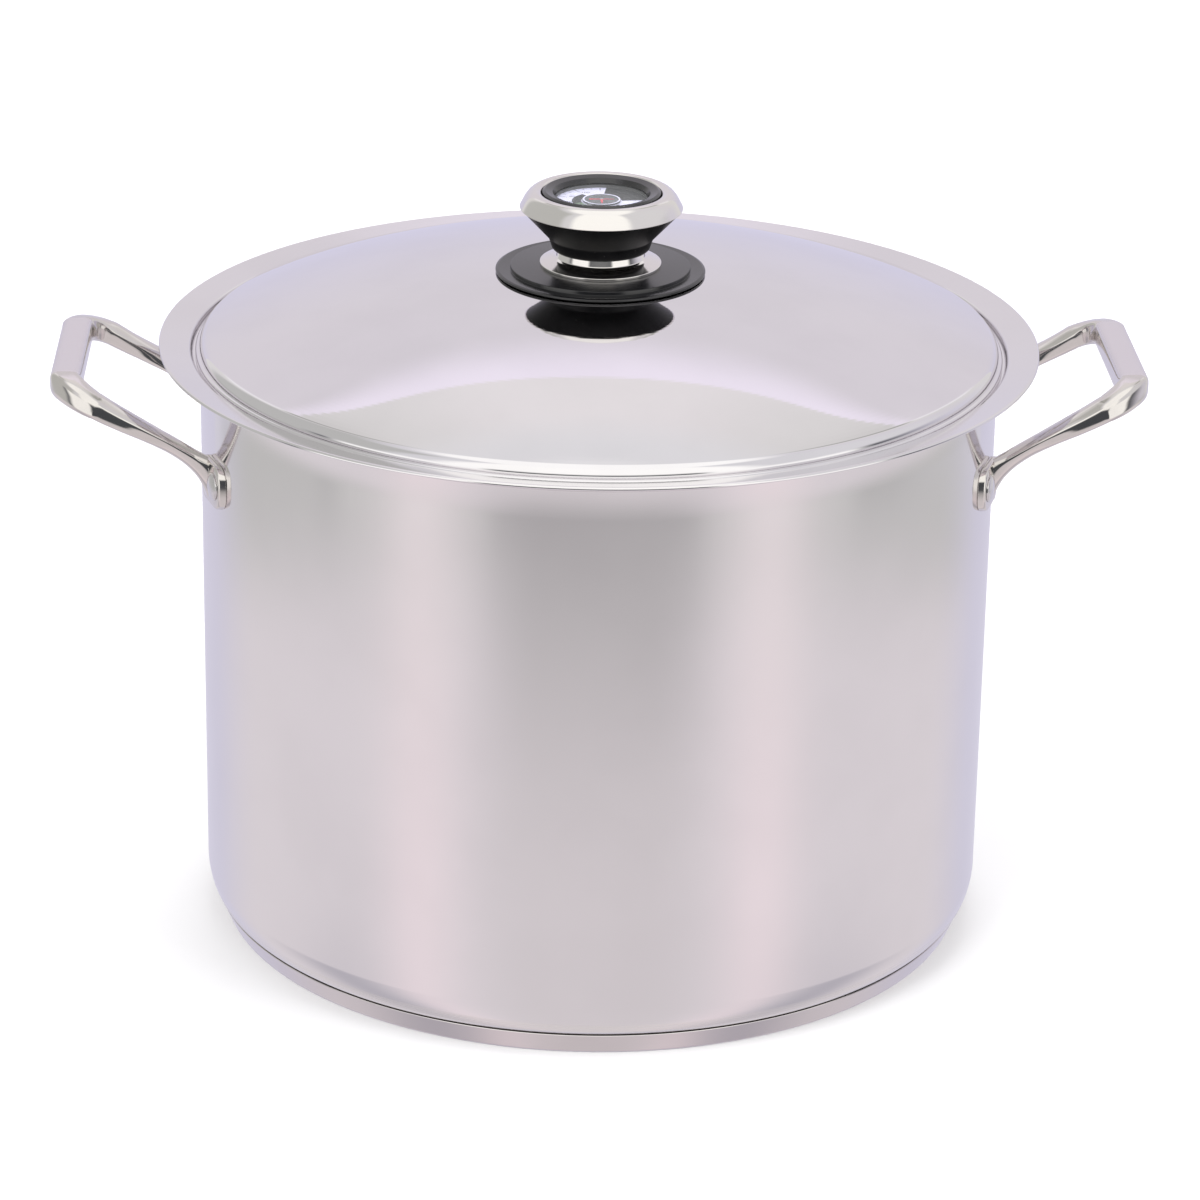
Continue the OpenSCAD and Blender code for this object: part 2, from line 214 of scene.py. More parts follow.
def body_steel():
    """The pot's sheet: polished outside, brushed round the inside."""
    colour, inner_colour = srgb(236, 234, 235), srgb(238, 236, 234)
    polished, brushed = 0.085, 0.27
    mid_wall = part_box("base_cap")[1][0] + 0.0028
    mid_floor = 0.0091
    mat, tree, shader = new_material("steel_body", colour, 1.0, 0.08)
    at = Place(tree)
    inside = at.radius.step(mid_wall, mid_wall - 0.0004) * at.z.step(mid_floor - 0.0003, mid_floor + 0.0003)
    cloud = noise(tree, at.co, detail=4, scale=18)
    upright = noise(tree, combine(tree, at.angle * 620.0, at.z * 7.0, 0.0), detail=3)
    rings = noise(tree, combine(tree, at.radius * 3000.0, at.z * 3000.0, at.angle * 2.0), detail=2)
    tone_out = mottled(tree, cloud, colour, 0.03)
    tree.links.new(blend(tree, inside, tone_out, inner_colour), shader.inputs["Base Color"])
    outer = (cloud - 0.5) * 0.03 + (upright - 0.5) * 0.03 + wiped(tree, at, 50.0, 30.0) * 0.015 + polished
    inner = (rings - 0.5) * 0.12 + brushed
    feed(tree, shader.inputs["Roughness"], outer + (inner - outer) * inside)
    waves = bumped(tree, noise(tree, at.co, detail=1, scale=8), 80 * MICRON)
    lines = upright + (rings * 3.0 - upright) * inside
    tree.links.new(bumped(tree, lines, 2.5 * MICRON, waves), shader.inputs["Normal"])
    return mat


def handle_steel():
    """Polished cast steel with a satin top along the grip bar."""
    colour, satin_colour = srgb(226, 222, 218), srgb(232, 227, 230)
    polished, brushed = 0.1, 0.36
    relief = 12 * MICRON
    mat, tree, shader = new_material("steel_handle", colour, 1.0, 0.1)
    at = Place(tree)
    facing = tree.nodes.new("ShaderNodeNewGeometry").outputs["Normal"]
    upwards = Num(tree, split(tree, facing)[2])
    satin = at.y.abs().step(SATIN_Y + 0.0006, SATIN_Y - 0.0006) * upwards.step(0.55, 0.75)
    cloud = noise(tree, at.co, detail=4, scale=60)
    grain = noise(tree, combine(tree, at.x * 200.0, at.y * 2600.0, at.z * 200.0), detail=3)
    cast = mottled(tree, cloud, colour, 0.05)
    tree.links.new(blend(tree, satin, cast, satin_colour), shader.inputs["Base Color"])
    smooth = (cloud - 0.5) * 0.04 + polished
    grained = (grain - 0.5) * 0.12 + brushed
    feed(tree, shader.inputs["Roughness"], smooth + (grained - smooth) * satin)
    grain_relief = bumped(tree, grain * satin, relief)
    dents = noise(tree, at.co, detail=2, scale=90)
    tree.links.new(bumped(tree, dents, relief, grain_relief), shader.inputs["Normal"])
    return mat


def phenolic(name, level, roughness, gloss):
    """Moulded black plastic of a grey level: fine orange peel and a little pale dust."""

    def grey(shift):
        return srgb(level + shift, level + shift, level + shift + 2)

    dust = srgb(88, 86, 84)
    mat, tree, shader = new_material(name, grey(0), 0.0, roughness)
    co = Place(tree).co
    cloud = noise(tree, co, detail=5, scale=120)
    peel = noise(tree, co, detail=2, scale=2600)
    specks = noise(tree, co, detail=1, scale=900)
    tone_black = blend(tree, cloud.step(0.3, 0.75), grey(-4), grey(4))
    tree.links.new(blend(tree, specks.step(0.76, 0.8), tone_black, dust), shader.inputs["Base Color"])
    feed(tree, shader.inputs["Roughness"], (cloud - 0.5) * 0.1 + (peel - 0.5) * 0.06 + roughness)
    shader.inputs["Specular IOR Level"].default_value = gloss
    tree.links.new(bumped(tree, peel, 12 * MICRON), shader.inputs["Normal"])
    return mat


def matt(name, colour, spread, roughness, scale, metallic=0.0, turned=False):
    """A plain surface with a mottled tone and fine relief, in rings where it was turned on a lathe."""
    mat, tree, shader = new_material(name, colour, metallic, roughness)
    at = Place(tree)
    cloud = noise(tree, at.co, detail=5, scale=scale)
    if turned:
        fine = noise(tree, combine(tree, at.radius * 2400.0, at.z * 900.0, at.angle * 3.0), detail=2)
    else:
        fine = noise(tree, at.co, detail=2, scale=scale * 12)
    darker = tuple(c * (1 - spread) for c in colour)
    tree.links.new(blend(tree, cloud.step(0.3, 0.7), colour, darker), shader.inputs["Base Color"])
    feed(tree, shader.inputs["Roughness"], (cloud - 0.5) * 0.14 + (fine - 0.5) * 0.08 + roughness)
    tree.links.new(bumped(tree, fine, 10 * MICRON), shader.inputs["Normal"])
    return mat


def glass():
    """The clear window: nearly all light goes straight through."""
    mat, tree, shader = new_material("lens_glass", (0.96, 0.98, 0.98), 0.0, 0.03)
    co = Place(tree).co
    shader.inputs["Alpha"].default_value = 0.05
    shader.inputs["IOR"].default_value = 1.5
    smears = noise(tree, co, detail=4, scale=160).step(0.5, 0.8)
    ripple = noise(tree, co, detail=1, scale=300)
    feed(tree, shader.inputs["Roughness"], smears * 0.05 + 0.02)
    tree.links.new(bumped(tree, ripple, MICRON), shader.inputs["Normal"])
    return mat


# ---------------------------------------------------------------- mesh tools


def polar(r, degrees):
    a = math.radians(degrees)
    return r * math.cos(a), r * math.sin(a)


def arc(cx, cz, r, a0, a1, n):
    """n + 1 points round (cx, cz), from angle a0 to angle a1 in degrees."""
    turns = (polar(r, a0 + (a1 - a0) * i / n) for i in range(n + 1))
    return [(cx + x, cz + z) for x, z in turns]


def rounded(corners, steps=6):
    """The outline through (r, z, fillet) corners, each rounded by its fillet."""
    out = []
    for i, (x, z, fillet) in enumerate(corners):
        p = Vector((x, z))
        a = Vector(corners[i - 1][:2]) - p
        b = Vector(corners[(i + 1) % len(corners)][:2]) - p
        if not fillet:
            out.append((x, z))
            continue
        la, lb = a.length, b.length
        a.normalize()
        b.normalize()
        half = a.angle(b) / 2
        reach = min(fillet / math.tan(half), 0.49 * la, 0.49 * lb)
        for k in range(steps + 1):
            t = k / steps
            q = p + a * reach * (1 - t) ** 2 + b * reach * t**2
            out.append((q.x, q.y))
    return out


def refined(outline, step, guard):
    """The closed outline with long stretches divided, and a guard point near each of their ends."""
    out = []
    for i, p in enumerate(outline):
        a, b = Vector(p), Vector(outline[(i + 1) % len(outline)])
        out.append(tuple(a))
        length = (b - a).length
        if a.x < 1e-6 and b.x < 1e-6 or length < 4 * guard:
            continue
        n = max(1, math.ceil((length - 2 * guard) / step))
        for k in range(n + 1):
            q = a.lerp(b, (guard + (length - 2 * guard) * k / n) / length)
            out.append((q.x, q.y))
    return out


def finish_mesh(bm, name, mat, sharp):
    """A smooth-shaded object from bm, with edges above the sharp angle kept crisp."""
    bmesh.ops.recalc_face_normals(bm, faces=bm.faces)
    mesh = bpy.data.meshes.new(name)
    bm.to_mesh(mesh)
    bm.free()
    mesh.polygons.foreach_set("use_smooth", [True] * len(mesh.polygons))
    mesh.set_sharp_from_angle(angle=math.radians(sharp))
    mesh.materials.append(mat)
    obj = bpy.data.objects.new(name, mesh)
    bpy.context.scene.collection.objects.link(obj)
    return obj


def bridge(bm, low, high):
    """Faces between two loops of the same length, all the way round."""
    for k in range(len(low)):
        after = (k + 1) % len(low)
        bm.faces.new((low[k], low[after], high[after], high[k]))


def spin(bm, outline, segments, matrix=None):
    """Turns a closed outline in millimetres round Z into bm."""
    rings = []
    for r, z in outline:
        ring = []
        for k in range(1 if r < 1e-6 else segments):
            a = 2 * math.pi * k / segments
            ring.append(bm.verts.new((r * MM * math.cos(a), r * MM * math.sin(a), z * MM)))
        rings.append(ring)
    for a, b in zip(rings, rings[1:] + rings[:1]):
        if len(a) == 1 and len(b) == 1:
            continue
        for k in range(segments):
            quad = [a[k % len(a)], a[(k + 1) % len(a)], b[(k + 1) % len(b)], b[k % len(b)]]
            bm.faces.new(list(dict.fromkeys(quad)))
    if matrix is not None:
        bmesh.ops.transform(bm, matrix=matrix, verts=[v for ring in rings for v in ring])


def placed(obj, body, slot, *nodes):
    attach(obj, body)
    if nodes:
        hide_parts(*nodes)
    return obj


LATHE_STEP = 4.0
LATHE_GUARD = 0.25


def lathe(name, outline, mat, body, slot, node, segments=192, sharp=35):
    """A turned piece that takes the place of one CAD node."""
    bm = bmesh.new()
    spin(bm, refined(outline, LATHE_STEP, LATHE_GUARD), segments)
    return placed(finish_mesh(bm, name, mat, sharp), body, slot, node)


# ---------------------------------------------------------------- sizes in mm, read from the frame

RIM_R, _, RIM_H = span("pot_shell")
RIM_R = min(RIM_R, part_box("pot_shell")[1][1] / MM)
SEAM_R, _, SEAM_H = span("base_cap")
LID_R, SEAT_Z, LID_TOP = span("lid_shell")
SHIELD_R, SHIELD_Z, SHIELD_TOP = span("heat_shield")
COLLAR_R, COLLAR_Z, COLLAR_TOP = span("collar")
_, GRIP_Z, BOSS_Z = span("grip")
BEZEL_R, BEZEL_Z, BEZEL_TOP = span("bezel")
RING_R, _, RING_TOP = span("lens_ring")
LENS_R, LENS_Z, LENS_TOP = span("lens")
DIAL_R, DIAL_Z, DIAL_TOP = span("dial_plate")
BAR_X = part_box("handle_right")[1][0] / MM

# the same numbers as in the CAD source
WALL = 1.2
BODY_R = LID_R - 1.8
CORNER_R = 22.0
CORNER_Z = 21.0
TUCK_R = 5.0
FLARE = 0.25
FLARE_H = 12.0
RIM_SLOPE = 10.3
BEAD_R = 1.4
LID_T = 1.0
PAD_R = 40.0
DOME_IN = 2.5
DOME_OUT = 21.5
SHOULDER_X = BODY_R - 3
SHOULDER_R = 5.0
DOME_GAIN = (DOME_OUT - DOME_IN) / (SHOULDER_X - PAD_R)

# the hole for the bolt through lid, shield and collar
BOLT_HOLE = 4.3

# half the length of the satin on a grip bar, in metres
SATIN_Y = 0.034


# ---------------------------------------------------------------- pot and lid


def pot_outline():
    """Both faces of the sheet, from the middle of the floor up to the rim and back."""
    corner_x = BODY_R - CORNER_R
    tuck_z = SEAM_H + 2.4
    tuck_a = math.degrees(math.asin((CORNER_Z - tuck_z) / CORNER_R))
    tuck_x = corner_x + (CORNER_R - TUCK_R) * math.cos(math.radians(tuck_a))
    tuck_cz = CORNER_Z - (CORNER_R - TUCK_R) * math.sin(math.radians(tuck_a))
    slope = math.radians(RIM_SLOPE)
    well_r, lip_r, step_r, nook_r = BODY_R + 3.5, 1.4, WALL + 0.5, 1.2
    lip_x = well_r + lip_r
    lip_z = RIM_H - (RIM_R - lip_x) * math.tan(slope) - lip_r
    wall_n = 12

    def flared(s, t):
        """A point of the upper wall, which widens a little towards the seat."""
        return BODY_R - WALL + s + FLARE * t**2, SEAT_Z - step_r - FLARE_H * (1 - t)

    def face(s):
        """The sheet's face at s outside its inner one."""
        return (
            [(0, tuck_cz - TUCK_R + WALL - s)]
            + arc(tuck_x, tuck_cz, TUCK_R - WALL + s, -90, -tuck_a, 10)
            + arc(corner_x, CORNER_Z, CORNER_R - WALL + s, -tuck_a, 0, 16)
            + [flared(s, i / wall_n) for i in range(wall_n)]
            + arc(BODY_R - WALL + step_r + FLARE, SEAT_Z - step_r, step_r - s, 180, 90, 10)
            + arc(well_r - nook_r, SEAT_Z + nook_r, nook_r + s, -90, 0, 10)
            + arc(lip_x, lip_z, lip_r - s, 180, 90 + RIM_SLOPE, 10)
        )

    edge, burr = 0.9, 0.25
    return (
        face(0)
        + arc(RIM_R - edge, RIM_H - edge, edge, 90 + RIM_SLOPE, 0, 10)
        + arc(RIM_R - burr, RIM_H - WALL / math.cos(slope) + burr, burr, 0, -80, 4)
        + face(WALL)[::-1]
    )


def cap_outline():
    """The base's steel cap: a foot ring round a slightly raised middle, turned up to the seam."""
    foot_r, edge, dish, ring_w, sheet = 153.2, 1.3, 0.35, 24, 0.7
    return (
        [(0, dish), (60, dish), (61, dish * 0.4)]
        + [(foot_r - ring_w, 0.12), (foot_r - ring_w + 0.6, 0.0)]
        + arc(foot_r - edge, edge, edge, -90, -22, 8)
        + [(SEAM_R, SEAM_H - 0.25), (SEAM_R - 0.12, SEAM_H), (SEAM_R - 0.63, SEAM_H)]
        + [(foot_r - sheet, 1.2), (foot_r - 1.2, sheet), (0, sheet)]
    )


def dome_slope(r):
    return DOME_IN + DOME_GAIN * (r - PAD_R)


def dome_z(r):
    ratio = math.cos(math.radians(dome_slope(r))) / math.cos(math.radians(DOME_IN))
    return LID_TOP + math.log(ratio) * 180 / math.pi / DOME_GAIN


def lid_face(s):
    """The lid's face at a depth s: the flat pad, a soft start of the dome, the dome and its shoulder."""
    blend_r, blend_n, dome_n = 1.5, 8, 60
    start = PAD_R - blend_r
    fall = math.tan(math.radians(DOME_IN)) / (4 * blend_r)
    pts = []
    for k in range(blend_n + 1):
        r = start + 2 * blend_r * k / blend_n
        pts.append((r, LID_TOP - s - (r - start) ** 2 * fall))
    for i in range(1, dome_n + 1):
        r = PAD_R + blend_r + (SHOULDER_X - PAD_R - blend_r) * i / (dome_n + 1)
        a = math.radians(dome_slope(r))
        pts.append((r - s * math.sin(a), dome_z(r) - s * math.cos(a)))
    x, z = polar(SHOULDER_R, 90 - DOME_OUT)
    return pts + arc(SHOULDER_X - x, dome_z(SHOULDER_X) - z, SHOULDER_R - s, 90 - DOME_OUT, 0, 16)


def lid_outline():
    outer, inner = lid_face(0), lid_face(LID_T)
    skirt = outer[-1][0]
    bead_x = BODY_R + 0.4
    join = math.degrees(math.acos((skirt - bead_x) / BEAD_R))
    return (
        [(BOLT_HOLE, LID_TOP)]
        + outer
        + arc(bead_x, SEAT_Z + BEAD_R, BEAD_R, join, -180, 20)
        + [(skirt - LID_T, SEAT_Z + BEAD_R + 0.6)]
        + inner[::-1]
        + [(BOLT_HOLE, LID_TOP - LID_T)]
    )


def build_pot(steel_body, steel_base):
    lathe("pot_sheet", pot_outline(), steel_body, "pot", "polished_steel", "pot_shell", 384, 40)
    lathe("base_sheet", cap_outline(), steel_base, "pot", "base_steel", "base_cap", 384, 30)


def build_washer(name, node, slot, mat, hole, fillets):
    """A flat ring; the fillets are those of its lower and upper edges, from the hole outwards and back."""
    r, z0, z1 = span(node)
    edges = ((hole, z0), (r, z0), (r, z1), (hole, z1))
    outline = rounded([(x, z, fillet) for (x, z), fillet in zip(edges, fillets)])
    lathe(name, outline, mat, "lid", slot, node, 96)


def build_lid(steel_lid, bright, rubber):
    lathe("lid_sheet", lid_outline(), steel_lid, "lid", "lid_steel", "lid_shell", 384, 40)
    build_washer("seal_ring", "seal_washer", "silicone", rubber, 4.1, (0.2, 0.4, 0.4, 0.2))
    build_washer("flat_washer", "steel_washer", "rivet_steel", bright, 4.2, (0.2, 0.35, 0.1, 0.1))


def build_bolt(bright):
    """Hexagonal head with a chamfered underside, and a threaded shank."""
    r, z0, z1 = span("knob_bolt")
    head_h, shank_r, pitch, sides = 5.2, 4.0, 1.25, 48
    bm = bmesh.new()

    def ring(z, cone):
        """The hexagon at a height, cut down to a circle where the chamfer's cone is narrower."""
        verts = []
        for k in range(sides):
            a = 2 * math.pi * k / sides
            flat = r * math.cos(math.pi / 6) / math.cos((a % (math.pi / 3)) - math.pi / 6)
            reach = min(flat, cone * r)
            verts.append(bm.verts.new((reach * MM * math.cos(a), reach * MM * math.sin(a), z * MM)))
        return verts

    levels = ((0, 0.8), (0.15, 0.86), (0.55, 0.93), (0.95, 1), (head_h, 1))
    rings = [ring(z0 + z, cone) for z, cone in levels]
    top = bm.verts.new((0, 0, (z0 + head_h) * MM))
    base = bm.verts.new((0, 0, (z0 + 0.35) * MM))
    for a, b in zip(rings, rings[1:]):
        bridge(bm, a, b)
    for k in range(sides):
        bm.faces.new((rings[0][k], rings[0][(k + 1) % sides], base))
        bm.faces.new((rings[-1][k], rings[-1][(k + 1) % sides], top))
    shank_z, root_r = z0 + head_h, shank_r - 0.45
    outline = [(0, shank_z - 0.2), (shank_r - 0.1, shank_z - 0.2)]
    for i in range(int((z1 - shank_z - 1) / pitch)):
        z = shank_z + pitch * i
        outline += [(shank_r, z + 0.3), (shank_r, z + 0.45), (root_r, z + 0.85), (root_r, z + 0.95)]
    outline += [(shank_r, z1 - 0.5), (shank_r - 0.5, z1), (0, z1)]
    spin(bm, outline, 64)
    placed(finish_mesh(bm, "bolt_and_nut", bright, 30), "lid", "rivet_steel", "knob_bolt")


# ---------------------------------------------------------------- handles

FOOT_IN = BODY_R + 0.05
FOOT_OUT = FOOT_IN + 2.9
FOOT_Z = RIM_H - 44.4
FOOT_H = 18.0
FOOT_CORNER = 6.0
FOOT_SOFT = 0.8
ARM_Y = 45.6
FOOT_Y = (ARM_Y - 7.5, ARM_Y + 16.5)
RIVET_Y = ARM_Y + 9.9
RIVET_R = 5.6
RIVET_H = 1.4
SHANK_R = 2.9
BAR_W = 12.4
BAR_H = 11.2
BAR_Z = RIM_H - 9.7
BEND_R = 13.0
BEND_X = BAR_X - BAR_W / 2 - BEND_R
ARM_RISE = 4.8
END_Z = BAR_Z - ARM_RISE
ROOT_X = math.sqrt(FOOT_OUT**2 - ARM_Y**2)

# half widths of an arm at its root and end, and its half height at the end
ARM_ROOT = 4.4
ARM_END = 6.4
ARM_END_H = 4.5

# how square the sections are: an arm at its root, where 2 would be an ellipse, and the grip bar
ARM_POWER = 2.8
BAR_POWER = 3.6

# how far an arm's top is drawn up into a ridge, how it leans over, and how much its corner is rounded off
CREST = 0.55
LEAN_OUT = 1.3
LEAN_IN = 0.6
CORNER_CUT = 1.0

# control points of an arm's lower and upper edge, x and z
ARM_UNDER = (
    (ROOT_X - 0.2, FOOT_Z - 8.4), (ROOT_X + 2.6, FOOT_Z + 10),
    (BEND_X - 19, END_Z - 15.5), (BEND_X + 2.3, END_Z - 3.8),
)
ARM_OVER = (
    (ROOT_X - 2.0, FOOT_Z + 8.5), (ROOT_X + 5.0, FOOT_Z + 12.5),
    (BEND_X - 16, END_Z - 5.5), (BEND_X - 2.4, END_Z + 3.9),
)


def bezier(p, t):
    """The point at t of the curve with four control points."""
    weights = ((1 - t) ** 3, 3 * (1 - t) ** 2 * t, 3 * (1 - t) * t * t, t**3)
    return sum((Vector(q) * w for q, w in zip(p, weights)), Vector((0, 0)))


def ramp(t, zero, one):
    """Straight from 0 at zero to 1 at one, and level beyond them."""
    return min(1.0, max(0.0, (t - zero) / (one - zero)))


def ring_points(centre, outward, upward, half_w, half_h, power, crest=0.0, lean=0.0):
    """A section between an ellipse (power 2) and a rectangle (high powers). crest draws its top up into a
    ridge, and lean shifts its top outwards and its bottom inwards."""
    count, ridge_foot, ridge_rise, ridge_fade = 56, 0.42, 0.68, 3
    pts = []
    for k in range(count):
        q = 2 * math.pi * (k + 0.5) / count
        cq, sq = math.cos(q), math.sin(q)
        px = math.copysign(abs(cq) ** (2 / power), cq)
        pz = math.copysign(abs(sq) ** (2 / power), sq)
        if sq > 0 and crest:
            ridge = ridge_foot + ridge_rise * (1 - abs(px))
            pz = pz * (1 - crest) + crest * ridge * min(1.0, sq * ridge_fade)
        pts.append(centre + outward * (half_w * px + lean * pz) + upward * (half_h * pz))
    return pts


def arm_ring(t):
    """The section at t of an arm, from foot to bend: oval at the root, squarer and ridged further out."""
    lo, hi = bezier(ARM_UNDER, t), bezier(ARM_OVER, t)
    mid, d = (lo + hi) / 2, hi - lo
    root_flare, flare_reach, turn_reach = 0.7, 0.085, 0.14
    flare = root_flare * math.exp(-((t / flare_reach) ** 2))
    turn = math.asin(ARM_Y / FOOT_OUT) * math.exp(-((t / turn_reach) ** 2))
    lean = LEAN_OUT * ramp(t, 0, 0.2) * ramp(t, 0.8, 0.5) - LEAN_IN * ramp(t, 0.7, 0.95)
    return ring_points(
        Vector((mid.x, -ARM_Y, mid.y)),
        Vector((-math.sin(turn), -math.cos(turn), 0)),
        Vector((d.x, 0, d.y)).normalized(),
        ARM_ROOT + (ARM_END - ARM_ROOT) * t + flare,
        d.length / 2,
        ARM_POWER + t,
        CREST * ramp(t, 0.45, 0.85),
        lean,
    )


def bend_ring(g):
    """The section at g of the bend between an arm and the grip bar."""
    q = math.radians(90 * g)
    slope = math.atan(2 * ARM_RISE * (1 - g) / (BEND_R * math.pi / 2))
    outward = Vector((math.sin(q), -math.cos(q), 0))
    cut = CORNER_CUT * math.sin(2 * q)
    centre = Vector((BEND_X, BEND_R - ARM_Y, BAR_Z - ARM_RISE * (1 - g) ** 2))
    return ring_points(
        centre + outward * (BEND_R - cut),
        outward,
        Vector((-math.sin(slope) * math.cos(q), -math.sin(slope) * math.sin(q), math.cos(slope))),
        ARM_END + (BAR_W / 2 - ARM_END) * g - cut,
        ARM_END_H + (BAR_H / 2 - ARM_END_H) * g,
        ARM_POWER + 1 + (BAR_POWER - ARM_POWER - 1) * g,
        CREST * ramp(g, 1 / 1.6, 0),
        -LEAN_IN * (1 - g),
    )


def handle_rings():
    """The sections from a foot to the grip bar, and those along the bar."""
    arm_n, bend_n, bar_n = 40, 28, 10
    near = [arm_ring(i / arm_n) for i in range(arm_n + 1)]
    near += [bend_ring(i / bend_n) for i in range(1, bend_n + 1)]
    bar = []
    for i in range(1, bar_n):
        centre = Vector((BEND_X + BEND_R, (BEND_R - ARM_Y) * (1 - 2 * i / bar_n), BAR_Z))
        bar.append(ring_points(centre, Vector((1, 0, 0)), UP, BAR_W / 2, BAR_H / 2, BAR_POWER))
    return near, bar


def add_loft(bm, rings):
    loops = [[bm.verts.new(p * MM) for p in ring] for ring in rings]
    n = len(loops[0])
    for a, b in zip(loops, loops[1:]):
        for k in range(n):
            bm.faces.new((a[k], b[k], b[(k + 1) % n], a[(k + 1) % n]))
    bm.faces.new(loops[0])
    bm.faces.new(loops[-1])


def foot_outline(inset):
    """The foot's rounded rectangle, shrunk by the inset, across and up from its centre."""
    half_w, half_h = (FOOT_Y[1] - FOOT_Y[0]) / 2 - FOOT_CORNER, FOOT_H / 2 - FOOT_CORNER
    pts = []
    for cx, cz, a0 in ((1, 1, 0), (-1, 1, 90), (-1, -1, 180), (1, -1, 270)):
        pts += arc(cx * half_w, cz * half_h, FOOT_CORNER - inset, a0, a0 + 90, 8)
    return pts


def add_foot(bm, side):
    """A rounded plate bent to the pot's wall, with softened edges."""
    centre_y = (FOOT_Y[0] + FOOT_Y[1]) / 2
    levels = [(FOOT_IN, 0.25), (FOOT_IN + 0.25, 0)]
    for degrees in range(0, 91, 18):
        x, z = polar(FOOT_SOFT, degrees)
        levels.append((FOOT_OUT - FOOT_SOFT + z, FOOT_SOFT - x))
    levels += [(FOOT_OUT, 2.5), (FOOT_OUT, 5.9)]
    loops = []
    for radius, inset in levels:
        loop = []
        for w, h in foot_outline(inset):
            y = side * (centre_y + w)
            loop.append(bm.verts.new(Vector((math.sqrt(radius**2 - y**2), y, FOOT_Z + h)) * MM))
        loops.append(loop)
    for a, b in zip(loops, loops[1:]):
        bridge(bm, a, b)
    bm.faces.new(loops[0])
    bm.faces.new(loops[-1])


def build_handle(name, node, mirrored, mat):
    near, bar = handle_rings()
    far = [[Vector((p.x, -p.y, p.z)) for p in ring] for ring in near[::-1]]
    bm = bmesh.new()
    add_loft(bm, near + bar + far)
    add_foot(bm, 1)
    add_foot(bm, -1)
    if mirrored:
        bmesh.ops.scale(bm, vec=(-1, 1, 1), verts=bm.verts)
    placed(finish_mesh(bm, name, mat, 50), "pot", "handle_steel", node)


def build_rivets(name, node, side_angle, mat):
    """Two rivets through the wall: a flat head inside, the shank and a domed head on the foot."""
    inner = math.sqrt((BODY_R - WALL) ** 2 - RIVET_R**2) - 0.05
    land = 0.35
    outline = [(0, inner - 1.1)]
    outline += rounded([(4, inner - 1.1, 0), (5, inner - 0.8, 0.4), (5.2, inner, 0)])
    outline += [(SHANK_R, inner), (SHANK_R, FOOT_OUT), (RIVET_R, FOOT_OUT), (RIVET_R, FOOT_OUT + land)]
    for degrees in range(6, 90, 6):
        rise = (RIVET_H - land) * math.sin(math.radians(degrees))
        outline.append((RIVET_R * math.cos(math.radians(degrees)), FOOT_OUT + land + rise))
    outline.append((0, FOOT_OUT + RIVET_H))
    bm = bmesh.new()
    tilt = Matrix.Rotation(math.radians(90), 4, "Y")
    reach = math.degrees(math.asin(RIVET_Y / FOOT_OUT))
    for a in (-reach, reach):
        turn = Matrix.Rotation(math.radians(side_angle + a), 4, "Z")
        spin(bm, outline, 64, Matrix.Translation((0, 0, FOOT_Z * MM)) @ turn @ tilt)
    placed(finish_mesh(bm, name, mat, 40), "pot", "rivet_steel", node)


# ---------------------------------------------------------------- knob


def build_shield(black):
    """The black disc on the lid, with a low step and a sloping top."""
    under, land, step_r = SHIELD_Z + 0.3, SHIELD_Z + 1.6, SHIELD_R - 6.2
    corners = [
        (BOLT_HOLE, SHIELD_Z, 0), (14, SHIELD_Z, 0.1), (15, under, 0.1), (SHIELD_R - 0.4, under, 0.2),
        (SHIELD_R, SHIELD_Z + 0.8, 0.4), (SHIELD_R - 0.15, land - 0.35, 0.35), (SHIELD_R - 1.1, land, 0.5),
        (step_r + 0.25, land - 0.25, 0.12), (step_r, land + 1.2, 0.25),
        (COLLAR_R + 1, SHIELD_TOP, 0.6), (BOLT_HOLE, SHIELD_TOP, 0),
    ]
    lathe("shield_disc", rounded(corners), black, "knob", "black_phenolic", "heat_shield")


def build_collar(knob_steel):
    """The bell-shaped steel collar under the grip."""
    corners = [
        (BOLT_HOLE, COLLAR_Z, 0), (COLLAR_R, COLLAR_Z, 0.15), (COLLAR_R, COLLAR_Z + 1.2, 0.4),
        (18.9, COLLAR_Z + 3.0, 1.0), (17.8, COLLAR_Z + 3.7, 0.7),
        (17.1, COLLAR_TOP, 0.1), (BOLT_HOLE, COLLAR_TOP, 0),
    ]
    lathe("collar_ring", rounded(corners, 8), knob_steel, "knob", "knob_steel", "collar")


def build_grip(dull):
    """The moulded grip: it widens from a waist to the bezel and has pockets for insert and thermometer."""
    bore, pocket_r, waist = 6.4, 18.4, 19.4
    knee_z, pocket_z, ledge_z = GRIP_Z + 5, GRIP_Z + 6.4, GRIP_Z + 18.3
    seat_r = LENS_R + 0.3
    corners = [
        (bore, GRIP_Z, 0), (waist - 0.1, GRIP_Z, 1.8), (waist + 1.6, knee_z, 2.5),
        (BEZEL_R - 0.5, BEZEL_Z, 0.2), (RING_R, BEZEL_Z, 0), (RING_R, BOSS_Z, 0.2),
        (seat_r, BOSS_Z, 0.2), (seat_r, ledge_z, 0),
        (pocket_r, ledge_z, 0), (pocket_r, pocket_z, 0), (bore, pocket_z, 0),
    ]
    lathe("grip_body", rounded(corners, 10), dull, "knob", "black_phenolic", "grip", sharp=40)


